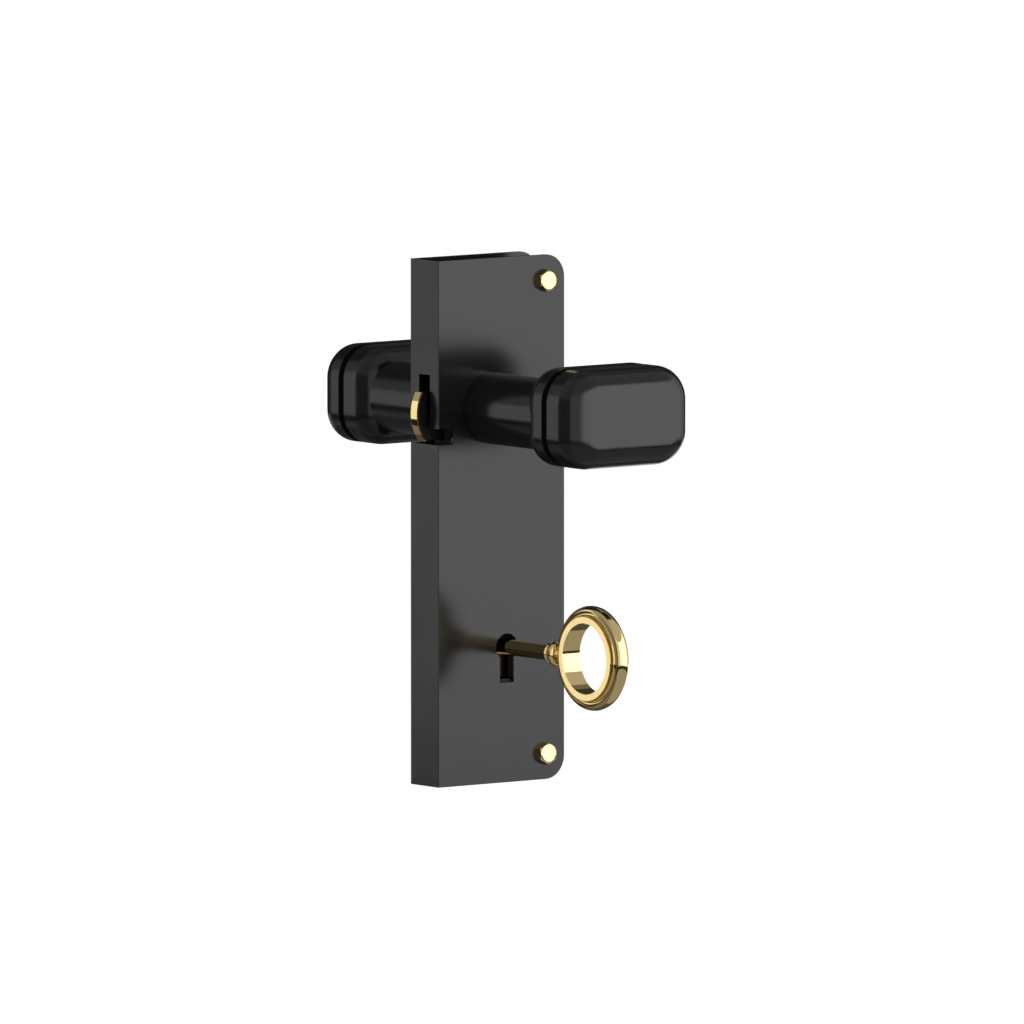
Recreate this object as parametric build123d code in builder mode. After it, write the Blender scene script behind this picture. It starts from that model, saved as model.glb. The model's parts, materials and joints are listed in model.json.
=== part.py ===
"""Door lock that wraps a door's edge: handles on both faces, a lifting latch and a key-driven bar.

Millimetres. X runs from the door's edge into the door, -Y is the front face, Z is up.
The origin is on the inner face of the edge strip, halfway through the door and halfway up the plate.
"""

from build123d import *
from math import cos, pi, radians, sin, sqrt
import os

os.makedirs("parts", exist_ok=True)

# Door and wrapped plate
door_thickness = 19.0
plate_thickness = 1.5
plate_height = 250.4
plate_width = 74.9
plate_corner_radius = 11.0
fold_radius = 0.3

# Handle axis and key axis
handle_x = 30.5
handle_below_top = 71.4
key_x = 39.1
key_above_bottom = 64.7

# Slot for the latch and notch for the strike's tongue, both in the edge
slot_width = 8.6
slot_top_above_handle = 17.0
notch_top_below_handle = 8.3
notch_height = 7.8
notch_depth = 8.6

# Keyhole
keyhole_radius = 6.4
keyhole_slot_width = 8.3
keyhole_drop = 17.1

# Bolts at the free side of the plate
bolt_inset = 11.6
bolt_end_inset = 12.35
bolt_across_flats = 9.2
bolt_head_height = 3.5
bolt_head_crown = 1.6
bolt_shank_radius = 2.45
bolt_shank_length = 9.0
bolt_bore_depth = 8.0
sleeve_radius = 4.0
plate_hole_clearance = 0.3

# Lock case
case_wall = 1.5
case_top_margin = 25.0
case_edge_gap = 8.0
case_corner_radius = 3.0
case_screw_radius = 1.6
case_screw_length = 9.0
case_screw_head_radius = 3.0
pillar_radius = 3.5
pillar_inset = 5.5
guide_pin_radius = 2.0

# Handle bearings and necks
neck_radius = 17.0
front_neck_length = 45.8
rear_neck_length = 51.8
neck_gap = 0.3
bushing_radius = 12.9
bushing_reach = 6.0
bushing_spare = 2.0
bushing_barrel_radius = 11.0
journal_radius = 9.0
spigot_radius = 10.0
front_spigot_bite = 7.4
rear_spigot_bite = 1.0
grub_reach = 36.0
grub_radius = 3.0
grub_length = 11.0

# Handle blocks
block_width = 73.1
block_height = 47.1
block_corner_radius = 16.2
block_side_to_axis = 17.6
base_depth = 15.4
base_edge_radius = 9.8
groove_width = 4.2
groove_depth = 2.6
cap_side_depth = 8.4
cap_edge_radius = 11.6
cap_wall = 4.0
cap_boss_radius = 15.0
block_screw_reach = 33.5
block_screw_spread = 7.2
block_screw_radius = 2.4
block_screw_head_radius = 4.6
block_screw_thread = 6.5
block_screw_key_share = 0.7
block_screw_boss_wall = 1.0

# Spindle and follower
spindle_size = 8.0
spindle_overlap = 49.0
spindle_chamfer = 0.8
spindle_hole_spare = 1.0
follower_radius = 11.0
follower_arm_radius = 16.0
follower_lug_radius = 14.0
follower_tip_radius = 3.0
follower_arm_thickness = 4.6
handle_turn = radians(26.5)

# Latch
latch_thickness = 4.7
latch_top_above_handle = 8.8
latch_bottom_above_notch = 1.8
latch_nose_radius = 20.8
latch_nose_below_handle = 1.6
latch_nose_reach = 6.4
latch_face_thickness = 0.8
stem_left_x = 11.0
stem_right_x = 19.0
stem_rise = 7.5
stem_end_to_pin = 5.0
latch_pin_spacing = 40.0
stem_foot_length = 13.0
window_relief = 3.0

# Latch spring
spring_radius = 3.6
spring_wire_radius = 0.6
spring_turns = 7
seat_radius = 4.3
seat_thickness = 1.2
seat_peg_radius = 2.5
seat_peg_height = 3.2

# Key rotor, its spiral groove and the bar it lifts
rotor_collar_radius = 16.5
rotor_rim = 1.2
rotor_slot_width = 5.2
groove_floor_depth = 3.0
bar_travel = 6.0
bar_thickness = 2.5
bar_width = 12.0
bar_arm_height = 8.0
finger_rise = 4.9
finger_left_x = 2.6
finger_width = 4.0
cam_pin_radius = 2.0
cam_pin_cover = 2.8
bar_pin_high_share = 0.82
bar_pin_low_share = 0.42

# Key
key_stem_radius = 3.8
key_stem_inner_end = 6.0
key_stem_rounding = 0.8
key_bit_radius = 15.0
key_bit_thickness = 4.6
key_bit_width = 8.0
ward_cut_width = 1.6
ward_cut_depth = 4.0
stem_socket_depth = 4.0
small_rim_radius = 5.0
small_rim_reach = 34.4
small_rim_length = 1.6
small_rim_chamfer = 0.4
waist_radius = 4.3
inner_waist_length = 1.5
bead_radius = 6.15
bead_length = 4.4
outer_waist_length = 0.3
collar_tenon_radius = 3.0
collar_tenon_length = 4.5
bow_bore_radius = 16.9
bow_face_radius = 19.9
bow_half_width = 5.1
bow_step_half_width = 3.6
bow_cove_half_width = 2.2
bow_bead_half_width = 3.4
bow_bead_radius = 22.6
bow_outer_radius = 24.9

# Clearances between pieces
running_clearance = 0.05
slide_clearance = 0.1
free_clearance = 0.5
end_gap = 0.3
tiny_gap = 0.1

# Worked-out positions
half_door = door_thickness / 2
outer_y = half_door + plate_thickness
half_height = plate_height / 2
handle_z = half_height - handle_below_top
key_z = key_above_bottom - half_height
cavity_half = half_door - case_wall
free_side_x = plate_width - plate_thickness
notch_end_x = notch_depth - plate_thickness
notch_top_z = handle_z - notch_top_below_handle
notch_bottom_z = notch_top_z - notch_height
slot_top_z = handle_z + slot_top_above_handle
bolt_x = free_side_x - bolt_inset
bolt_z = half_height - bolt_end_inset

bar_outer_y = cavity_half - free_clearance
bar_inner_y = bar_outer_y - bar_thickness
rotor_half = bar_inner_y - free_clearance
cam_start_radius = rotor_collar_radius + free_clearance + cam_pin_cover
cam_slot_half = cam_pin_radius + slide_clearance
rotor_radius = cam_start_radius + bar_travel + cam_slot_half + rotor_rim
collar_end_y = half_door - end_gap
bar_bottom_z = key_z + cam_start_radius - cam_pin_cover
finger_top_z = notch_bottom_z - free_clearance
bar_arm_top_z = finger_top_z - finger_rise
bar_arm_bottom_z = bar_arm_top_z - bar_arm_height
bar_run = bar_arm_bottom_z - bar_bottom_z
bar_pin_high_z = bar_bottom_z + bar_pin_high_share * bar_run
bar_pin_low_z = bar_bottom_z + bar_pin_low_share * bar_run

bead_start_reach = small_rim_reach + small_rim_length + inner_waist_length
bead_end_reach = bead_start_reach + bead_length
bow_near_reach = bead_end_reach + outer_waist_length
bow_reach = bow_near_reach + bow_outer_radius

case_top_z = half_height - case_top_margin
case_left_x = case_edge_gap
case_right_x = key_x + rotor_radius + free_clearance + case_wall
case_bottom_z = key_z - rotor_radius - free_clearance - case_wall
case_mid_x = (case_left_x + case_right_x) / 2
case_mid_z = (case_top_z + case_bottom_z) / 2
case_width = case_right_x - case_left_x
case_height = case_top_z - case_bottom_z

block_mid_x = handle_x - block_side_to_axis + block_width / 2
cap_depth = cap_side_depth + cap_edge_radius
block_depth = base_depth + groove_width + cap_depth
front_block_y = -(outer_y + front_neck_length)
rear_block_y = outer_y + rear_neck_length + block_depth
front_spigot_length = base_depth + groove_width + front_spigot_bite
rear_spigot_length = cap_depth + rear_spigot_bite
block_screw_x = handle_x + block_screw_reach

latch_travel = follower_arm_radius * handle_turn
latch_top_z = handle_z + latch_top_above_handle
latch_bottom_z = notch_bottom_z + latch_bottom_above_notch
latch_nose_z = handle_z - latch_nose_below_handle
stem_half_length = (stem_end_to_pin + latch_pin_spacing + stem_foot_length) / 2
stem_top_z = handle_z - stem_rise + stem_half_length
stem_bottom_z = handle_z - stem_rise - stem_half_length
latch_pin_high_z = stem_top_z - stem_end_to_pin
latch_pin_low_z = latch_pin_high_z - latch_pin_spacing
tail_z = handle_z + follower_tip_radius + tiny_gap
window_left_x = handle_x - follower_arm_radius - follower_tip_radius - free_clearance
window_bottom_z = handle_z - follower_tip_radius - free_clearance - window_relief
stem_mid_x = (stem_left_x + stem_right_x) / 2
pin_hole_half = guide_pin_radius + slide_clearance
spring_top_z = case_top_z - case_wall
spring_bottom_z = stem_top_z + seat_thickness

block_screw_points = [(block_screw_x, handle_z + s * block_screw_spread) for s in (-1, 1)]
pillar_points = [
    (case_left_x + case_wall + pillar_inset, case_bottom_z + case_wall + pillar_inset),
    (case_right_x - case_wall - pillar_inset, case_bottom_z + case_wall + pillar_inset),
    (case_right_x - case_wall - pillar_inset, case_top_z - case_wall - pillar_inset),
    (stem_right_x + seat_radius + pillar_radius, case_top_z - case_wall - pillar_inset),
]


def facing_front(y, x=0.0, z=0.0):
    """A plane square to the handle axis: its first axis is X, its second is Z, and it faces the front."""
    return Plane(origin=(x, y, z), x_dir=(1, 0, 0), z_dir=(0, -1, 0))


def rounded_block(width, height, radius):
    """The handle block's outline, set about the handle axis inside the current sketch."""
    with Locations((block_mid_x, handle_z)):
        RectangleRounded(width, height, radius)


def keyhole_outline():
    """A round hole with a slot below it, inside the current sketch."""
    with Locations((key_x, key_z)):
        Circle(keyhole_radius)
    with Locations((key_x, key_z - keyhole_drop / 2)):
        Rectangle(keyhole_slot_width, keyhole_drop)


def upright_slot(x, pin_z, travel):
    """The slot that a piece needs to rise past a fixed pin, inside the current sketch."""
    with Locations((x, pin_z - travel / 2)):
        SlotOverall(travel + 2 * pin_hole_half, 2 * pin_hole_half, rotation=90, mode=Mode.SUBTRACT)


# Wrapped plate, folded round the door's edge
with BuildPart() as wrap_plate:
    with BuildSketch(Plane.XY.offset(-plate_height / 2)):
        with Locations((free_side_x - plate_width / 2, 0)):
            Rectangle(plate_width, 2 * outer_y)
        with Locations((free_side_x / 2, 0)):
            Rectangle(free_side_x, door_thickness, mode=Mode.SUBTRACT)
    extrude(amount=plate_height)
    fillet(wrap_plate.edges().filter_by(Axis.Z).group_by(Axis.X)[0], fold_radius)
    fillet(wrap_plate.edges().filter_by(Axis.Y).group_by(Axis.X)[-1], plate_corner_radius)
    with BuildSketch(Plane.YZ.offset(-plate_thickness)):
        with Locations((0, (notch_bottom_z + slot_top_z) / 2)):
            Rectangle(slot_width, slot_top_z - notch_bottom_z)
    extrude(amount=plate_thickness, mode=Mode.SUBTRACT)
    with BuildSketch(facing_front(0)):
        with Locations(((notch_end_x - plate_thickness) / 2, notch_bottom_z + notch_height / 2)):
            Rectangle(notch_depth, notch_height)
    extrude(amount=outer_y, both=True, mode=Mode.SUBTRACT)
    with BuildSketch(facing_front(0)):
        keyhole_outline()
        with Locations((handle_x, handle_z)):
            Circle(bushing_barrel_radius + running_clearance)
        with Locations((bolt_x, bolt_z), (bolt_x, -bolt_z)):
            Circle(bolt_shank_radius + plate_hole_clearance)
    extrude(amount=outer_y, both=True, mode=Mode.SUBTRACT)

# Lock case, a deep tray behind the front of the plate
with BuildPart() as lock_case:
    with BuildSketch(facing_front(-half_door)):
        with Locations((case_mid_x, case_mid_z)):
            RectangleRounded(case_width, case_height, case_corner_radius)
    extrude(amount=case_wall - door_thickness)
    with BuildSketch(facing_front(-cavity_half)):
        with Locations((case_mid_x, case_mid_z)):
            RectangleRounded(
                case_width - 2 * case_wall, case_height - 2 * case_wall, case_corner_radius - case_wall
            )
    extrude(amount=-2 * cavity_half, mode=Mode.SUBTRACT)
    with BuildSketch(facing_front(-half_door)):
        with Locations((handle_x, handle_z)):
            Circle(bushing_barrel_radius + running_clearance)
        with Locations((key_x, key_z)):
            Circle(rotor_collar_radius + running_clearance)
    extrude(amount=-case_wall, mode=Mode.SUBTRACT)
    with BuildSketch(Plane.YZ.offset(case_left_x)):
        latch_window_bottom = latch_bottom_z - free_clearance
        latch_window_top = latch_top_z + latch_travel + free_clearance
        with Locations((0, (latch_window_bottom + latch_window_top) / 2)):
            Rectangle(latch_thickness + 2 * free_clearance, latch_window_top - latch_window_bottom)
        bar_window_bottom = bar_arm_bottom_z - free_clearance
        bar_window_top = bar_arm_top_z + bar_travel + free_clearance
        bar_window_left = bar_inner_y - free_clearance
        with Locations(((bar_window_left + cavity_half) / 2, (bar_window_bottom + bar_window_top) / 2)):
            Rectangle(cavity_half - bar_window_left, bar_window_top - bar_window_bottom)
    extrude(amount=case_wall, mode=Mode.SUBTRACT)

# Cover that closes the case behind the rear of the plate
with BuildPart() as case_cover:
    with BuildSketch(facing_front(cavity_half)):
        with Locations((case_mid_x, case_mid_z)):
            RectangleRounded(case_width, case_height, case_corner_radius)
        with Locations((handle_x, handle_z)):
            Circle(bushing_barrel_radius + running_clearance, mode=Mode.SUBTRACT)
        with Locations((key_x, key_z)):
            Circle(rotor_collar_radius + running_clearance, mode=Mode.SUBTRACT)
    extrude(amount=-case_wall)
    for x, z in pillar_points:
        with BuildSketch(facing_front(half_door, x, z)):
            Circle(case_screw_head_radius + running_clearance)
        with BuildSketch(facing_front(cavity_half, x, z)):
            Circle(case_screw_radius + running_clearance)
        loft(mode=Mode.SUBTRACT)

# Pillars that the cover is screwed to
with BuildPart() as case_pillars:
    with BuildSketch(facing_front(-cavity_half)):
        with Locations(*pillar_points):
            Circle(pillar_radius)
    extrude(amount=-2 * cavity_half)
    with BuildSketch(facing_front(cavity_half)):
        with Locations(*pillar_points):
            Circle(case_screw_radius + running_clearance)
    extrude(amount=case_screw_length, mode=Mode.SUBTRACT)

# Countersunk screws of the cover
with BuildPart() as case_screws:
    for x, z in pillar_points:
        with BuildSketch(facing_front(half_door, x, z)):
            Circle(case_screw_head_radius)
        with BuildSketch(facing_front(cavity_half, x, z)):
            Circle(case_screw_radius)
        loft()
        with BuildSketch(facing_front(cavity_half, x, z)):
            Circle(case_screw_radius)
        extrude(amount=case_screw_length - free_clearance)
        with BuildSketch(facing_front(half_door, x, z)):
            Rectangle(2 * case_screw_radius, case_wall / 2)
        extrude(amount=case_wall / 2, mode=Mode.SUBTRACT)

# Pins that guide the latch and the bar
with BuildPart() as guide_pins:
    with BuildSketch(facing_front(-cavity_half)):
        with Locations(
            (stem_mid_x, latch_pin_high_z), (key_x, bar_pin_high_z), (key_x, bar_pin_low_z)
        ):
            Circle(guide_pin_radius)
    extrude(amount=-2 * cavity_half)
    with BuildSketch(facing_front(-cavity_half)):
        with Locations((stem_mid_x, latch_pin_low_z)):
            Circle(guide_pin_radius)
    extrude(amount=-(cavity_half + latch_thickness / 2 + free_clearance))

# Pins that stop the follower at rest and at full turn
rest_stop = (
    handle_x + follower_lug_radius,
    handle_z + follower_tip_radius + tiny_gap + guide_pin_radius,
)
stop_offset = follower_tip_radius + tiny_gap + guide_pin_radius
turn_stop = (
    handle_x + follower_lug_radius * cos(handle_turn) - stop_offset * sin(handle_turn),
    handle_z - follower_lug_radius * sin(handle_turn) - stop_offset * cos(handle_turn),
)
with BuildPart() as stop_pins:
    with BuildSketch(facing_front(-cavity_half)):
        with Locations(rest_stop, turn_stop):
            Circle(guide_pin_radius)
    extrude(amount=-2 * cavity_half)


def make_bushing(side):
    """The bearing that clamps plate and case together; side is -1 in front and 1 behind."""
    with BuildPart() as bushing:
        with BuildSketch(facing_front(side * cavity_half, handle_x, handle_z)):
            Circle(bushing_barrel_radius)
            Circle(journal_radius + running_clearance, mode=Mode.SUBTRACT)
        extrude(amount=-side * (outer_y - cavity_half))
        with BuildSketch(facing_front(side * outer_y, handle_x, handle_z)):
            Circle(bushing_radius)
            Circle(journal_radius + running_clearance, mode=Mode.SUBTRACT)
        extrude(amount=-side * bushing_reach)
    return bushing


front_bushing = make_bushing(-1)
rear_bushing = make_bushing(1)

# Follower, turned by the spindle, with the arm that lifts the latch and the lug that meets the stops
hub_half = cavity_half - end_gap
journal_half = outer_y + bushing_reach / 2
square_hole = spindle_size + 2 * running_clearance
with BuildPart() as follower:
    with BuildSketch(facing_front(0, handle_x, handle_z)):
        Circle(follower_radius)
    extrude(amount=hub_half, both=True)
    with BuildSketch(facing_front(0, handle_x, handle_z)):
        Circle(journal_radius)
    extrude(amount=journal_half, both=True)
    with BuildSketch(facing_front(0, handle_x, handle_z)):
        with Locations((-follower_arm_radius, 0), (follower_lug_radius, 0)):
            Circle(follower_tip_radius)
        with Locations(((follower_lug_radius - follower_arm_radius) / 2, 0)):
            Rectangle(follower_arm_radius + follower_lug_radius, 2 * follower_tip_radius)
    extrude(amount=follower_arm_thickness / 2, both=True)
    with BuildSketch(facing_front(0, handle_x, handle_z)):
        Rectangle(square_hole, square_hole)
    extrude(amount=journal_half, both=True, mode=Mode.SUBTRACT)

# Square spindle through both handles
spindle_half = outer_y + spindle_overlap
with BuildPart() as spindle:
    with BuildSketch(facing_front(0, handle_x, handle_z)):
        Rectangle(spindle_size, spindle_size)
    extrude(amount=spindle_half, both=True)
    chamfer(spindle.faces().sort_by(Axis.Y)[0].edges(), spindle_chamfer)
    chamfer(spindle.faces().sort_by(Axis.Y)[-1].edges(), spindle_chamfer)


def knob_envelope(back_y):
    """The whole handle block as one solid, rounded like its base and its cap."""
    with BuildPart() as envelope:
        with BuildSketch(facing_front(back_y)):
            rounded_block(block_width, block_height, block_corner_radius)
        extrude(amount=block_depth)
        fillet(envelope.faces().sort_by(Axis.Y)[0].edges(), cap_edge_radius)
        fillet(envelope.faces().sort_by(Axis.Y)[-1].edges(), base_edge_radius)
    return envelope.part


def make_neck(side, neck_length, spigot_length):
    """Round neck of a handle, bored for the bushing and squared for the spindle."""
    start_y = side * (outer_y + neck_gap)
    end_y = side * (outer_y + neck_length)
    bore_depth = bushing_reach + bushing_spare - neck_gap
    with BuildPart() as neck:
        with BuildSketch(facing_front(start_y, handle_x, handle_z)):
            Circle(neck_radius)
        extrude(amount=-side * (neck_length - neck_gap))
        if side < 0:
            with BuildSketch(facing_front(end_y, handle_x, handle_z)):
                Circle(neck_radius)
            extrude(amount=base_edge_radius)
            add(knob_envelope(front_block_y), mode=Mode.SUBTRACT)
        with BuildSketch(facing_front(end_y, handle_x, handle_z)):
            Circle(spigot_radius)
        extrude(amount=-side * spigot_length)
        with BuildSketch(facing_front(start_y, handle_x, handle_z)):
            Circle(bushing_radius + running_clearance)
        extrude(amount=-side * bore_depth, mode=Mode.SUBTRACT)
        with BuildSketch(facing_front(start_y, handle_x, handle_z)):
            Rectangle(square_hole, square_hole)
        extrude(amount=-side * (spindle_half + spindle_hole_spare - outer_y), mode=Mode.SUBTRACT)
        with BuildSketch(Plane.XY.offset(handle_z)):
            with Locations((handle_x, side * (outer_y + grub_reach))):
                Circle(grub_radius + running_clearance)
        extrude(amount=-neck_radius, mode=Mode.SUBTRACT)
    return neck


def make_grub_screw(side):
    """Screw under the neck that grips the spindle."""
    tip_z = handle_z - spindle_size / 2 - running_clearance
    with BuildPart() as grub:
        with BuildSketch(Plane.XY.offset(tip_z)):
            with Locations((handle_x, side * (outer_y + grub_reach))):
                Circle(grub_radius)
        extrude(amount=-grub_length)
        with BuildSketch(Plane.XY.offset(tip_z - grub_length)):
            with Locations((handle_x, side * (outer_y + grub_reach))):
                RegularPolygon(grub_radius / 2, 6)
        extrude(amount=grub_length / 2, mode=Mode.SUBTRACT)
    return grub


def make_base(back_y, screw_from_back):
    """Plain slab of a handle block, behind the groove."""
    with BuildPart() as base:
        with BuildSketch(facing_front(back_y)):
            rounded_block(block_width, block_height, block_corner_radius)
        extrude(amount=base_depth)
        fillet(base.faces().sort_by(Axis.Y)[-1].edges(), base_edge_radius)
        if screw_from_back:
            with BuildSketch(facing_front(back_y)):
                with Locations((handle_x, handle_z)):
                    Circle(spigot_radius + running_clearance)
                with Locations(*block_screw_points):
                    Circle(block_screw_radius + running_clearance)
            extrude(amount=base_depth, mode=Mode.SUBTRACT)
            for x, z in block_screw_points:
                with BuildSketch(facing_front(back_y, x, z)):
                    Circle(block_screw_head_radius + running_clearance)
                with BuildSketch(facing_front(back_y - block_screw_head_radius / 2, x, z)):
                    Circle(block_screw_radius + running_clearance)
                loft(mode=Mode.SUBTRACT)
        else:
            with BuildSketch(facing_front(back_y - base_depth)):
                with Locations(*block_screw_points):
                    Circle(block_screw_radius + running_clearance)
            extrude(amount=-block_screw_thread, mode=Mode.SUBTRACT)
    return base


def make_spacer(back_y):
    """Smaller slab that leaves the groove between base and cap."""
    with BuildPart() as spacer:
        with BuildSketch(facing_front(back_y - base_depth)):
            rounded_block(
                block_width - 2 * groove_depth,
                block_height - 2 * groove_depth,
                block_corner_radius - groove_depth,
            )
            with Locations((handle_x, handle_z)):
                Circle(spigot_radius + running_clearance, mode=Mode.SUBTRACT)
            with Locations(*block_screw_points):
                Circle(block_screw_radius + running_clearance, mode=Mode.SUBTRACT)
        extrude(amount=groove_width)
    return spacer


def make_cap(back_y, screw_from_back):
    """Hollow cap with a rounded front, carrying bosses for the neck and the screws."""
    cap_back_y = back_y - base_depth - groove_width
    with BuildPart() as cap:
        with BuildSketch(facing_front(cap_back_y)):
            rounded_block(block_width, block_height, block_corner_radius)
        extrude(amount=cap_depth)
        fillet(cap.faces().sort_by(Axis.Y)[0].edges(), cap_edge_radius)
        with BuildSketch(facing_front(cap_back_y)):
            rounded_block(
                block_width - 2 * cap_edge_radius,
                block_height - 2 * cap_edge_radius,
                block_corner_radius - cap_edge_radius,
            )
            with Locations((handle_x, handle_z)):
                Circle(cap_boss_radius, mode=Mode.SUBTRACT)
            with Locations(*block_screw_points):
                Circle(block_screw_head_radius + block_screw_boss_wall, mode=Mode.SUBTRACT)
        extrude(amount=cap_depth - cap_wall, mode=Mode.SUBTRACT)
        if screw_from_back:
            with BuildSketch(facing_front(cap_back_y)):
                with Locations((handle_x, handle_z)):
                    Circle(spigot_radius + running_clearance)
            extrude(amount=front_spigot_bite + tiny_gap, mode=Mode.SUBTRACT)
            with BuildSketch(facing_front(cap_back_y)):
                with Locations(*block_screw_points):
                    Circle(block_screw_radius + running_clearance)
            extrude(amount=cap_depth - cap_wall, mode=Mode.SUBTRACT)
        else:
            with BuildSketch(facing_front(cap_back_y)):
                with Locations((handle_x, handle_z)):
                    Circle(spigot_radius + running_clearance)
                with Locations(*block_screw_points):
                    Circle(block_screw_radius + running_clearance)
            extrude(amount=cap_depth, mode=Mode.SUBTRACT)
            for x, z in block_screw_points:
                with BuildSketch(facing_front(cap_back_y - cap_depth, x, z)):
                    Circle(block_screw_head_radius + running_clearance)
                with BuildSketch(
                    facing_front(cap_back_y - cap_depth + block_screw_head_radius / 2, x, z)
                ):
                    Circle(block_screw_radius + running_clearance)
                loft(mode=Mode.SUBTRACT)
    return cap


def make_block_screws(head_y, toward, length):
    """Two countersunk screws; toward is -1 when they point to the front and 1 to the rear."""
    with BuildPart() as screws:
        for x, z in block_screw_points:
            with BuildSketch(facing_front(head_y, x, z)):
                Circle(block_screw_head_radius)
            with BuildSketch(facing_front(head_y + toward * block_screw_head_radius / 2, x, z)):
                Circle(block_screw_radius)
            loft()
            with BuildSketch(facing_front(head_y, x, z)):
                Circle(block_screw_radius)
            extrude(amount=-toward * length)
            with BuildSketch(facing_front(head_y, x, z)):
                RegularPolygon(block_screw_radius * block_screw_key_share, 6)
            extrude(amount=-toward * block_screw_head_radius / 2, mode=Mode.SUBTRACT)
    return screws


front_base = make_base(front_block_y, True)
front_spacer = make_spacer(front_block_y)
front_cap = make_cap(front_block_y, True)
front_neck = make_neck(-1, front_neck_length, front_spigot_length)
front_grub_screw = make_grub_screw(-1)
front_block_screws = make_block_screws(
    front_block_y, -1, base_depth + groove_width + cap_depth - cap_wall - free_clearance
)

rear_base = make_base(rear_block_y, False)
rear_spacer = make_spacer(rear_block_y)
rear_cap = make_cap(rear_block_y, False)
rear_neck = make_neck(1, rear_neck_length, rear_spigot_length)
rear_grub_screw = make_grub_screw(1)
rear_block_screws = make_block_screws(
    outer_y + rear_neck_length, 1, cap_depth + groove_width + block_screw_thread - free_clearance
)

# Latch, a blackened slide whose rounded nose stands out of the edge
nose_mid_x = latch_nose_radius - plate_thickness - latch_nose_reach
body_nose_radius = latch_nose_radius - latch_face_thickness - running_clearance
nose_tip_x = nose_mid_x - body_nose_radius
nose_top_x = nose_mid_x - sqrt(body_nose_radius**2 - (latch_top_z - latch_nose_z) ** 2)
nose_bottom_x = nose_mid_x - sqrt(body_nose_radius**2 - (latch_bottom_z - latch_nose_z) ** 2)
with BuildPart() as latch:
    with BuildSketch(facing_front(0)):
        with BuildLine():
            Polyline(
                (nose_top_x, latch_top_z),
                (stem_left_x, latch_top_z),
                (stem_left_x, stem_top_z),
                (stem_right_x, stem_top_z),
                (stem_right_x, tail_z),
                (window_left_x, tail_z),
                (window_left_x, window_bottom_z),
                (stem_right_x, window_bottom_z),
                (stem_right_x, stem_bottom_z),
                (stem_left_x, stem_bottom_z),
                (stem_left_x, latch_bottom_z),
                (nose_bottom_x, latch_bottom_z),
            )
            ThreePointArc(
                (nose_bottom_x, latch_bottom_z),
                (nose_tip_x, latch_nose_z),
                (nose_top_x, latch_top_z),
            )
        make_face()
        upright_slot(stem_mid_x, latch_pin_high_z, latch_travel)
        upright_slot(stem_mid_x, latch_pin_low_z, latch_travel)
    extrude(amount=latch_thickness / 2, both=True)

# Brass face brazed round the latch's nose
with BuildPart() as latch_face:
    with BuildSketch(facing_front(0)):
        with Locations((nose_mid_x, latch_nose_z)):
            Circle(latch_nose_radius)
            Circle(latch_nose_radius - latch_face_thickness, mode=Mode.SUBTRACT)
        with Locations((nose_mid_x - latch_nose_radius / 2, (latch_bottom_z + latch_top_z) / 2)):
            Rectangle(latch_nose_radius, latch_top_z - latch_bottom_z, mode=Mode.INTERSECT)
    extrude(amount=latch_thickness / 2, both=True)

# Seat that centres the spring on the latch
with BuildPart() as spring_seat:
    with BuildSketch(Plane.XY.offset(stem_top_z)):
        with Locations((stem_mid_x, 0)):
            Circle(seat_radius)
    extrude(amount=seat_thickness)
    with BuildSketch(Plane.XY.offset(spring_bottom_z)):
        with Locations((stem_mid_x, 0)):
            Circle(seat_peg_radius)
    extrude(amount=seat_peg_height)

# Latch spring, pressed between its seat and the top of the case
wire_start_z = spring_bottom_z + spring_wire_radius + running_clearance
wire_end_z = spring_top_z - spring_wire_radius - running_clearance
with BuildPart() as latch_spring:
    with BuildLine() as coil:
        Helix(
            pitch=(wire_end_z - wire_start_z) / spring_turns,
            height=wire_end_z - wire_start_z,
            radius=spring_radius,
            center=(stem_mid_x, 0, wire_start_z),
        )
    with BuildSketch(Plane(origin=coil.line @ 0, z_dir=coil.line % 0)):
        Circle(spring_wire_radius)
    sweep(is_frenet=True)

# Key rotor, turned by the key, with a spiral groove in its rear face
slot_reach = key_bit_radius + free_clearance


def spiral(shift):
    """Points of the groove's edge, one turn of a spiral that grows by the bar's travel."""
    points = []
    steps = 36
    for step in range(steps + 1):
        angle = 2 * pi * step / steps
        radius = cam_start_radius + shift + bar_travel * step / steps
        points.append((-radius * sin(angle), radius * cos(angle)))
    return points


with BuildPart() as key_rotor:
    with BuildSketch(facing_front(0, key_x, key_z)):
        Circle(rotor_radius)
    extrude(amount=rotor_half, both=True)
    with BuildSketch(facing_front(0, key_x, key_z)):
        Circle(rotor_collar_radius)
    extrude(amount=collar_end_y, both=True)
    with BuildSketch(facing_front(0, key_x, key_z)):
        Circle(key_stem_radius + slide_clearance)
        with Locations((0, -slot_reach / 2)):
            Rectangle(rotor_slot_width, slot_reach)
    extrude(amount=collar_end_y, both=True, mode=Mode.SUBTRACT)
    for side in (-1, 1):
        with BuildSketch(facing_front(side * collar_end_y, key_x, key_z)):
            Circle(keyhole_radius)
            with Locations((0, -slot_reach / 2)):
                Rectangle(keyhole_slot_width, slot_reach)
        extrude(amount=side * (collar_end_y - rotor_half), mode=Mode.SUBTRACT)
    with BuildSketch(facing_front(rotor_half, key_x, key_z)):
        with BuildLine():
            outer_edge = Spline(*spiral(cam_slot_half))
            inner_edge = Spline(*spiral(-cam_slot_half))
            Line(outer_edge @ 0, inner_edge @ 0)
            Line(outer_edge @ 1, inner_edge @ 1)
        make_face()
        with Locations((0, cam_start_radius), (0, cam_start_radius + bar_travel)):
            Circle(cam_slot_half)
    extrude(amount=groove_floor_depth, mode=Mode.SUBTRACT)

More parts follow.
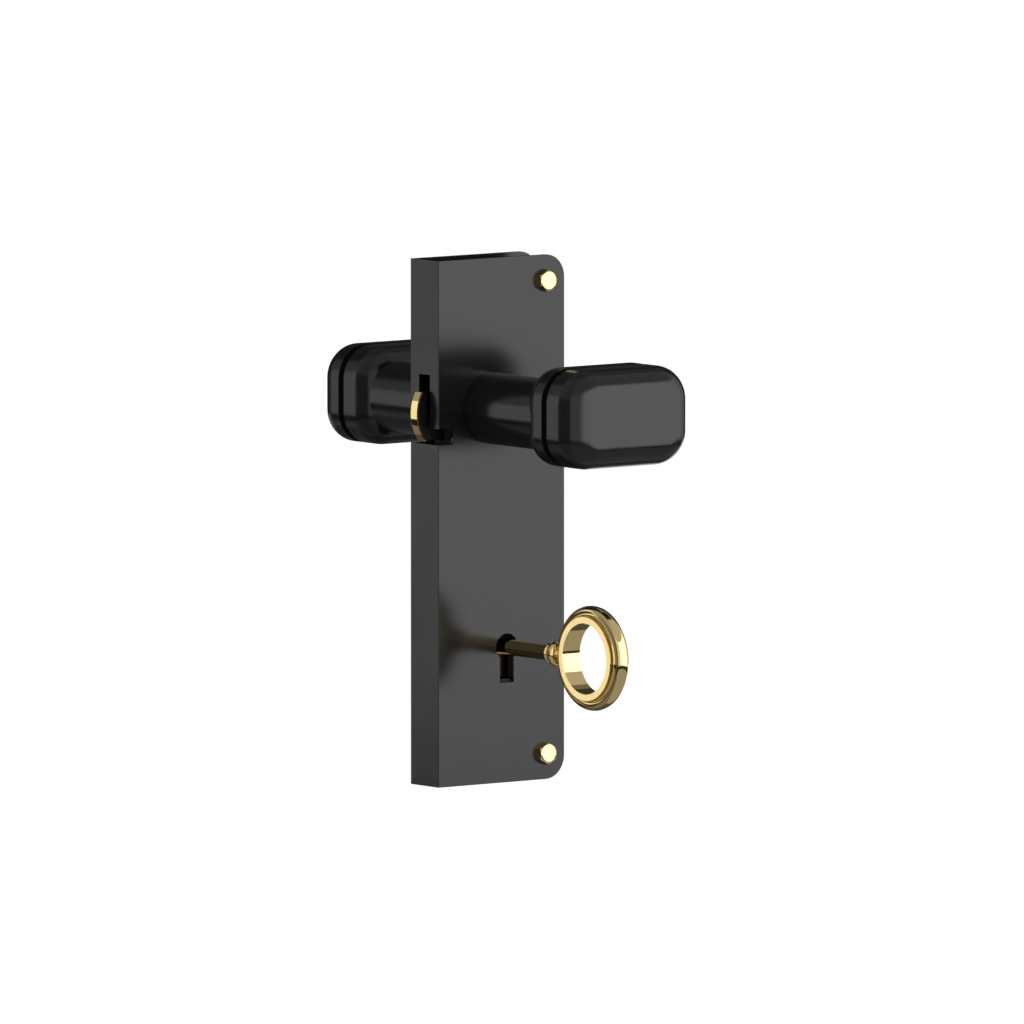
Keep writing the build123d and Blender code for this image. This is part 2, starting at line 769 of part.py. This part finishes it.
# Bar that the rotor lifts behind the strike's tongue
with BuildPart() as dead_bar:
    with BuildSketch(facing_front(bar_outer_y)):
        with Locations((key_x, (bar_bottom_z + bar_arm_top_z) / 2)):
            Rectangle(bar_width, bar_arm_top_z - bar_bottom_z)
        with Locations(((finger_left_x + key_x) / 2, (bar_arm_bottom_z + bar_arm_top_z) / 2)):
            Rectangle(key_x - finger_left_x, bar_arm_height)
        with Locations((finger_left_x + finger_width / 2, (bar_arm_bottom_z + finger_top_z) / 2)):
            Rectangle(finger_width, finger_top_z - bar_arm_bottom_z)
        with Locations((key_x, key_z + cam_start_radius)):
            Circle(cam_pin_radius + running_clearance, mode=Mode.SUBTRACT)
        upright_slot(key_x, bar_pin_high_z, bar_travel)
        upright_slot(key_x, bar_pin_low_z, bar_travel)
    extrude(amount=bar_thickness)

# Pin riveted in the bar, running in the rotor's groove
with BuildPart() as bar_pin:
    with BuildSketch(facing_front(bar_outer_y, key_x, key_z + cam_start_radius)):
        Circle(cam_pin_radius)
    extrude(amount=bar_thickness + free_clearance + groove_floor_depth - end_gap)

# Key stem
rim_start_y = -(outer_y + small_rim_reach)
with BuildPart() as key_stem:
    with BuildSketch(facing_front(key_stem_inner_end, key_x, key_z)):
        Circle(key_stem_radius)
    extrude(amount=key_stem_inner_end - rim_start_y + stem_socket_depth)
    fillet(key_stem.faces().sort_by(Axis.Y)[-1].edges(), key_stem_rounding)

# Key bit with its ward cuts
with BuildPart() as key_bit:
    with BuildSketch(facing_front(0, key_x, key_z)):
        with Locations((0, -key_bit_radius / 2)):
            Rectangle(key_bit_thickness, key_bit_radius)
        Circle(key_stem_radius, mode=Mode.SUBTRACT)
    extrude(amount=key_bit_width / 2, both=True)
    with BuildSketch(Plane.YZ.offset(key_x)):
        with Locations(
            (-ward_cut_width, key_z - key_bit_radius), (ward_cut_width, key_z - key_bit_radius)
        ):
            Rectangle(ward_cut_width, 2 * ward_cut_depth)
    extrude(amount=key_bit_thickness, both=True, mode=Mode.SUBTRACT)

# Key bow, a moulded ring
bow_y = -(outer_y + bow_reach)
bow_axis = Axis((key_x, bow_y, key_z), (1, 0, 0))
with BuildPart() as key_bow:
    with BuildSketch(facing_front(bow_y, key_x, key_z)):
        with BuildLine():
            Polyline(
                (0, bow_bore_radius),
                (bow_half_width, bow_bore_radius),
                (bow_half_width, bow_face_radius),
                (bow_step_half_width, bow_face_radius),
            )
            ThreePointArc(
                (bow_step_half_width, bow_face_radius),
                (bow_cove_half_width, (bow_face_radius + bow_bead_radius) / 2),
                (bow_bead_half_width, bow_bead_radius),
            )
            mirror(about=Plane.YZ)
            EllipticalCenterArc(
                (0, bow_bead_radius),
                bow_bead_half_width,
                bow_outer_radius - bow_bead_radius,
                arc_size=180,
            )
        make_face()
    revolve(axis=bow_axis)
    with BuildSketch(facing_front(bow_y + bow_outer_radius, key_x, key_z)):
        Circle(collar_tenon_radius + running_clearance)
    extrude(amount=collar_tenon_length + tiny_gap, mode=Mode.SUBTRACT)

# Turned collar between stem and bow
with BuildPart() as key_collar:
    with BuildSketch(Plane(origin=(key_x, -outer_y, key_z), x_dir=(0, -1, 0), z_dir=(-1, 0, 0))):
        with BuildLine():
            Polyline(
                (bead_start_reach, waist_radius),
                (small_rim_reach + small_rim_length, waist_radius),
                (small_rim_reach + small_rim_length, small_rim_radius - small_rim_chamfer),
                (small_rim_reach + small_rim_length - small_rim_chamfer, small_rim_radius),
                (small_rim_reach + small_rim_chamfer, small_rim_radius),
                (small_rim_reach, small_rim_radius - small_rim_chamfer),
                (small_rim_reach, 0),
                (bow_near_reach + collar_tenon_length, 0),
                (bow_near_reach + collar_tenon_length, collar_tenon_radius),
                (bow_near_reach, collar_tenon_radius),
                (bow_near_reach, waist_radius),
                (bead_end_reach, waist_radius),
            )
            ThreePointArc(
                (bead_end_reach, waist_radius),
                ((bead_start_reach + bead_end_reach) / 2, bead_radius),
                (bead_start_reach, waist_radius),
            )
        make_face()
    revolve(axis=Axis((key_x, 0, key_z), (0, -1, 0)))
    with BuildSketch(facing_front(rim_start_y, key_x, key_z)):
        Circle(key_stem_radius + running_clearance)
    extrude(amount=stem_socket_depth + tiny_gap, mode=Mode.SUBTRACT)


def make_bolts(side):
    """Two hexagon bolts with rounded head tops; side is -1 in front and 1 behind."""
    with BuildPart() as blanks:
        with BuildSketch(facing_front(side * outer_y)):
            with Locations((bolt_x, bolt_z), (bolt_x, -bolt_z)):
                Circle(bolt_across_flats / sqrt(3))
        extrude(amount=-side * bolt_head_height)
        face_groups = blanks.faces().group_by(Axis.Y)
        outer_faces = face_groups[-1] if side > 0 else face_groups[0]
        fillet(outer_faces.edges(), bolt_head_crown)
    with BuildPart() as bolts:
        with BuildSketch(facing_front(side * outer_y)):
            with Locations((bolt_x, bolt_z), (bolt_x, -bolt_z)):
                RegularPolygon(bolt_across_flats / 2, 6, major_radius=False, rotation=30)
        extrude(amount=-side * bolt_head_height)
        add(blanks.part, mode=Mode.INTERSECT)
        with BuildSketch(facing_front(side * outer_y)):
            with Locations((bolt_x, bolt_z), (bolt_x, -bolt_z)):
                Circle(bolt_shank_radius)
        extrude(amount=side * bolt_shank_length)
    return bolts


front_bolts = make_bolts(-1)
rear_bolts = make_bolts(1)

# Threaded sleeves between the two leaves of the plate
with BuildPart() as bolt_sleeves:
    with BuildSketch(facing_front(0)):
        with Locations((bolt_x, bolt_z), (bolt_x, -bolt_z)):
            Circle(sleeve_radius)
    extrude(amount=half_door, both=True)
    for side in (-1, 1):
        with BuildSketch(facing_front(side * half_door)):
            with Locations((bolt_x, bolt_z), (bolt_x, -bolt_z)):
                Circle(bolt_shank_radius + running_clearance)
        extrude(amount=side * bolt_bore_depth, mode=Mode.SUBTRACT)

nodes = {
    "wrap_plate": wrap_plate,
    "lock_case": lock_case,
    "case_cover": case_cover,
    "case_pillars": case_pillars,
    "case_screws": case_screws,
    "guide_pins": guide_pins,
    "stop_pins": stop_pins,
    "front_bushing": front_bushing,
    "rear_bushing": rear_bushing,
    "follower": follower,
    "spindle": spindle,
    "front_neck": front_neck,
    "rear_neck": rear_neck,
    "front_grub_screw": front_grub_screw,
    "rear_grub_screw": rear_grub_screw,
    "front_base": front_base,
    "rear_base": rear_base,
    "front_spacer": front_spacer,
    "rear_spacer": rear_spacer,
    "front_cap": front_cap,
    "rear_cap": rear_cap,
    "front_block_screws": front_block_screws,
    "rear_block_screws": rear_block_screws,
    "latch": latch,
    "latch_face": latch_face,
    "spring_seat": spring_seat,
    "latch_spring": latch_spring,
    "key_rotor": key_rotor,
    "dead_bar": dead_bar,
    "bar_pin": bar_pin,
    "key_stem": key_stem,
    "key_bit": key_bit,
    "key_bow": key_bow,
    "key_collar": key_collar,
    "front_bolts": front_bolts,
    "rear_bolts": rear_bolts,
    "bolt_sleeves": bolt_sleeves,
}
for node, builder in nodes.items():
    builder.part.label = node
    export_step(builder.part, f"parts/{node}.step")
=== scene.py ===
"""Looks of the door lock: finishes, floor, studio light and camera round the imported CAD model."""

import json
import math

import bpy
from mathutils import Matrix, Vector


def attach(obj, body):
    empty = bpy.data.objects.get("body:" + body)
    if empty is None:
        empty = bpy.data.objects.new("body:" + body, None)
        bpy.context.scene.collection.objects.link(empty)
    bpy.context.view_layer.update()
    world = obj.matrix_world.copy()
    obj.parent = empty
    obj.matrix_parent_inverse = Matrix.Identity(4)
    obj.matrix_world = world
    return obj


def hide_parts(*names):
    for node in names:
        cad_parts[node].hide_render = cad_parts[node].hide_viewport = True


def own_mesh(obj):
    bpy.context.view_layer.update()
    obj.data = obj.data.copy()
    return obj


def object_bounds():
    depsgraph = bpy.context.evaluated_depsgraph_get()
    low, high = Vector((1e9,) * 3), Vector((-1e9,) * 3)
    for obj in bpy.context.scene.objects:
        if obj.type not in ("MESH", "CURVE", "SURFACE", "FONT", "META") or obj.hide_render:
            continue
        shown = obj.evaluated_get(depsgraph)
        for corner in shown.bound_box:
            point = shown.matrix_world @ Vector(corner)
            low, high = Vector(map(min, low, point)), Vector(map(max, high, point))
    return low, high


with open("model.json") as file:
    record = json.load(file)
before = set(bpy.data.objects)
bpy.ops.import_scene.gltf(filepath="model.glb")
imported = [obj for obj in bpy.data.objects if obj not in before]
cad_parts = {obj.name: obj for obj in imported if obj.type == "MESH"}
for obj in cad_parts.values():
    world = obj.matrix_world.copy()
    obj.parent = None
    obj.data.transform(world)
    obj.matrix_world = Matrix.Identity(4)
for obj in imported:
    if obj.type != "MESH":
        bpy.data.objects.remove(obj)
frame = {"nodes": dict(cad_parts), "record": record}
nodes = frame["nodes"]
record = frame["record"]
scene = bpy.context.scene
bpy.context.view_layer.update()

# The camera stands where the photograph was taken from; angles in degrees, lengths in metres
AZIMUTH = -37.35
ELEVATION = 5.58
AIM = Vector((0.02648, -0.03163, 0.00612))
CAMERA_DISTANCE = 11.7
FRAME_WIDTH = 0.48485
SENSOR_MM = 36.0
VIEW_RANGE = 200.0

# Floor and world
FLOOR_DROP = 0.30
FLOOR_SIZE = 60.0
FLOOR_COLOR = (0.9, 0.9, 0.9)
FLOOR_ROUGHNESS = 0.9
FLOOR_GLOW = 0.35
WORLD_LIGHT = 0.75

# Panels that only reflections see
CARD_RADIUS = 1.6
CARD_LIFT = 0.01
CARD_COLUMNS = 24
CARD_ROWS = 16

# Sectors of the studio, in degrees of azimuth
FRONT = (-67.0, 97.0)
LEFT = (-160.0, -67.0)
REAR = (97.0, 200.0)
BACK = (172.0, 200.0)

# Bands of the studio, in degrees of elevation
FRONT_WINDOW = (-13.0, 32.0)
LEFT_WINDOW = (-11.0, 17.0)
REAR_WINDOW = (-30.0, -9.0)

# Small rounding that catches light on crisp edges
EDGE_ROUNDING = 0.00025
EDGE_SEGMENTS = 2
SHARP_ANGLE = math.radians(40)

# Base colours
PAINT = (0.004, 0.004, 0.004)
CASE_PAINT = (0.012, 0.012, 0.012)
BRASS = (0.94, 0.73, 0.34)
BEARING_BRASS = (0.62, 0.45, 0.22)
STEEL = (0.52, 0.52, 0.53)
DARK_STEEL = (0.025, 0.024, 0.023)

# Surface noise: patches of uneven gloss by scale and detail, grain by scale and height
PAINT_PATCHES = (40.0, 3.0)
METAL_PATCHES = (150.0, 4.0)
PAINT_SPREAD = 0.03
PAINT_GRAIN = (2500.0, 0.00001)
METAL_GRAIN = (1500.0, 0.00001)
POLISHED_GRAIN = (900.0, 0.000003)
GRAIN_DETAIL = 2.0
GRAIN_STRENGTH = 0.4


def new_material(name, color):
    """A node material with its Principled shader in one base colour."""
    material = bpy.data.materials.new(name)
    material.use_nodes = True
    shader = material.node_tree.nodes["Principled BSDF"]
    shader.inputs["Base Color"].default_value = (*color, 1)
    return material, material.node_tree, shader


def surface_noise(tree, scale, detail):
    """A noise texture in object coordinates, where 1 unit is 1 metre."""
    coordinates = tree.nodes.new("ShaderNodeTexCoord")
    noise = tree.nodes.new("ShaderNodeTexNoise")
    noise.inputs["Scale"].default_value = scale
    noise.inputs["Detail"].default_value = detail
    tree.links.new(coordinates.outputs["Object"], noise.inputs["Vector"])
    return noise.outputs["Fac"]


def ranged(tree, source, low, high):
    """Maps a 0 to 1 value to low to high."""
    mapped = tree.nodes.new("ShaderNodeMapRange")
    mapped.inputs["To Min"].default_value = low
    mapped.inputs["To Max"].default_value = high
    tree.links.new(source, mapped.inputs["Value"])
    return mapped.outputs["Result"]


def finish_surface(tree, shader, roughness, spread, patches, grain):
    """Uneven gloss in patches, and a fine bump over the whole surface."""
    gloss = ranged(tree, surface_noise(tree, *patches), roughness - spread, roughness + spread)
    tree.links.new(gloss, shader.inputs["Roughness"])
    grain_scale, grain_height = grain
    bump = tree.nodes.new("ShaderNodeBump")
    bump.inputs["Strength"].default_value = GRAIN_STRENGTH
    bump.inputs["Distance"].default_value = grain_height
    tree.links.new(surface_noise(tree, grain_scale, GRAIN_DETAIL), bump.inputs["Height"])
    tree.links.new(bump.outputs["Normal"], shader.inputs["Normal"])


def paint(name, color, roughness, specular):
    """Powder paint, a little uneven in gloss."""
    material, tree, shader = new_material(name, color)
    shader.inputs["Specular IOR Level"].default_value = specular
    finish_surface(tree, shader, roughness, PAINT_SPREAD, PAINT_PATCHES, PAINT_GRAIN)
    return material


def metal(name, color, roughness, spread, grain):
    """Bare metal whose polish varies a little."""
    material, tree, shader = new_material(name, color)
    shader.inputs["Metallic"].default_value = 1.0
    finish_surface(tree, shader, roughness, spread, METAL_PATCHES, grain)
    return material


def glowing(name, color, brightness):
    """A matt studio surface with a white glow of its own."""
    material, _, shader = new_material(name, color)
    shader.inputs["Specular IOR Level"].default_value = 0.0
    shader.inputs["Emission Color"].default_value = (1, 1, 1, 1)
    shader.inputs["Emission Strength"].default_value = brightness
    return material, shader


finishes = {
    "plate_black": paint("plate_black", PAINT, 0.2, 0.5),
    "handle_black": paint("handle_black", PAINT, 0.2, 0.5),
    "case_black": paint("case_black", CASE_PAINT, 0.5, 0.2),
    "polished_brass": metal("polished_brass", BRASS, 0.07, 0.02, POLISHED_GRAIN),
    "bearing_brass": metal("bearing_brass", BEARING_BRASS, 0.3, 0.05, METAL_GRAIN),
    "steel": metal("steel", STEEL, 0.32, 0.06, METAL_GRAIN),
    "dark_steel": metal("dark_steel", DARK_STEEL, 0.4, 0.06, METAL_GRAIN),
}
for row in record["subparts"]:
    mesh = nodes[row["node"]].data
    mesh.materials.clear()
    mesh.materials.append(finishes[row["material_slot"]])

# Crisp edges of sheet and bolts, rounded while flat faces stay flat
for node in ("wrap_plate", "latch", "front_bolts", "rear_bolts"):
    bevel = nodes[node].modifiers.new("edge_rounding", "BEVEL")
    bevel.width = EDGE_ROUNDING
    bevel.segments = EDGE_SEGMENTS
    bevel.limit_method = "ANGLE"
    bevel.angle_limit = SHARP_ANGLE
    bevel.harden_normals = True

# The latch spring becomes an object of its own on a copy of its mesh, hung on the lock body; the CAD
# spring is hidden
spring = bpy.data.objects.new("coiled_spring", nodes["latch_spring"].data.copy())
scene.collection.objects.link(spring)
spring.matrix_world = nodes["latch_spring"].matrix_world.copy()
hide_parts("latch_spring")
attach(spring, "lock_body")
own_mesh(spring)

# Floor
floor_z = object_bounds()[0].z - FLOOR_DROP
bpy.ops.mesh.primitive_plane_add(size=FLOOR_SIZE, location=(0, 0, floor_z))
floor = bpy.context.object
floor.name = "floor"
floor_material, floor_shader = glowing("floor_white", FLOOR_COLOR, FLOOR_GLOW)
floor_shader.inputs["Roughness"].default_value = FLOOR_ROUGHNESS
floor.data.materials.append(floor_material)

# World: white where it is seen directly or in a reflection, softer as a light
world = bpy.data.worlds.new("studio")
scene.world = world
world.use_nodes = True
background = world.node_tree.nodes["Background"]
background.inputs["Color"].default_value = (1, 1, 1, 1)
rays = world.node_tree.nodes.new("ShaderNodeLightPath")
strength = ranged(world.node_tree, rays.outputs["Is Diffuse Ray"], 1.0, WORLD_LIGHT)
world.node_tree.links.new(strength, background.inputs["Strength"])


def direction(azimuth, elevation):
    """Unit vector from the lock towards a place in the studio, by azimuth and elevation in degrees."""
    a, e = math.radians(azimuth), math.radians(elevation)
    return Vector((math.sin(a) * math.cos(e), -math.cos(a) * math.cos(e), math.sin(e)))


def softbox(name, azimuth, elevation, distance, width, height, power):
    """A rectangular lamp that faces the lock and isn't seen in reflections."""
    lamp = bpy.data.lights.new(name, "AREA")
    lamp.shape = "RECTANGLE"
    lamp.size = width
    lamp.size_y = height
    lamp.energy = power
    holder = bpy.data.objects.new(name, lamp)
    toward = direction(azimuth, elevation)
    holder.location = AIM + toward * distance
    holder.rotation_mode = "QUATERNION"
    holder.rotation_quaternion = toward.to_track_quat("Z", "Y")
    holder.visible_glossy = False
    scene.collection.objects.link(holder)


def card(name, azimuths, elevations, brightness):
    """A curved panel that only reflections see; where it would pass through the floor it lies on it."""
    lowest = floor_z + CARD_LIFT - AIM.z
    points, faces = [], []
    for row in range(CARD_ROWS + 1):
        elevation = elevations[0] + (elevations[1] - elevations[0]) * row / CARD_ROWS
        for column in range(CARD_COLUMNS + 1):
            azimuth = azimuths[0] + (azimuths[1] - azimuths[0]) * column / CARD_COLUMNS
            toward = direction(azimuth, elevation) * CARD_RADIUS
            if toward.z < lowest:
                toward *= lowest / toward.z
            points.append(AIM + toward)
    for row in range(CARD_ROWS):
        for column in range(CARD_COLUMNS):
            first = row * (CARD_COLUMNS + 1) + column
            above = first + CARD_COLUMNS + 1
            faces.append((first, first + 1, above + 1, above))
    mesh = bpy.data.meshes.new(name)
    mesh.from_pydata(points, [], faces)
    mesh.materials.append(glowing(name, (0, 0, 0), brightness)[0])
    panel = bpy.data.objects.new(name, mesh)
    scene.collection.objects.link(panel)
    panel.visible_camera = False
    panel.visible_diffuse = False
    panel.visible_shadow = False


softbox("key_softbox", 25.0, 35.0, 3.0, 1.6, 1.6, 20.0)
softbox("fill_softbox", -110.0, 20.0, 3.0, 1.2, 2.0, 10.0)

# What the paint and the brass reflect: bright windows among dark and grey panels
card("window_right", (-8.0, 48.0), FRONT_WINDOW, 2.1)
card("window_side", (48.0, 72.0), FRONT_WINDOW, 1.6)
card("window_edge", (72.0, 97.0), FRONT_WINDOW, 0.7)
card("window_fade", (-20.0, -8.0), FRONT_WINDOW, 1.5)
card("band_front", (-67.0, -20.0), FRONT_WINDOW, 0.75)
card("band_left", (-131.0, -67.0), LEFT_WINDOW, 0.12)
card("band_left_rear", (-138.0, -131.0), LEFT_WINDOW, 0.25)
card("window_left_rear", (-147.5, -138.0), LEFT_WINDOW, 1.0)
card("band_left_back", (-160.0, -147.5), LEFT_WINDOW, 0.25)
card("band_rear", REAR, (-9.0, 42.0), 0.04)
card("stripe_front", FRONT, (-20.0, -13.0), 0.02)
card("stripe_left", LEFT, (-20.0, -11.0), 0.015)
card("ceiling_right", FRONT, (32.0, 90.0), 0.45)
card("ceiling_left", LEFT, (17.0, 90.0), 0.34)
card("ceiling_rear", REAR, (42.0, 90.0), 0.16)
card("ground_front", FRONT, (-90.0, -20.0), 0.32)
card("ground_left", LEFT, (-90.0, -20.0), 0.18)
card("ground_rear", (97.0, 172.0), (-90.0, -30.0), 0.08)
card("ground_side", (97.0, 106.0), REAR_WINDOW, 0.08)
card("ground_corner", (137.0, 172.0), REAR_WINDOW, 0.08)
card("ground_back", BACK, (-90.0, -26.0), 0.08)
card("window_back", BACK, (-26.0, -9.0), 0.5)
card("window_rear", (106.0, 137.0), REAR_WINDOW, 1.5)

# Camera
camera_data = bpy.data.cameras.new("camera")
camera = bpy.data.objects.new("camera", camera_data)
scene.collection.objects.link(camera)
back = direction(AZIMUTH, ELEVATION)
camera.location = AIM + back * CAMERA_DISTANCE
camera.rotation_mode = "QUATERNION"
camera.rotation_quaternion = (-back).to_track_quat("-Z", "Y")
camera_data.sensor_width = SENSOR_MM
camera_data.lens = SENSOR_MM * CAMERA_DISTANCE / FRAME_WIDTH
camera_data.clip_end = VIEW_RANGE
scene.camera = camera
scene.view_settings.view_transform = "Standard"
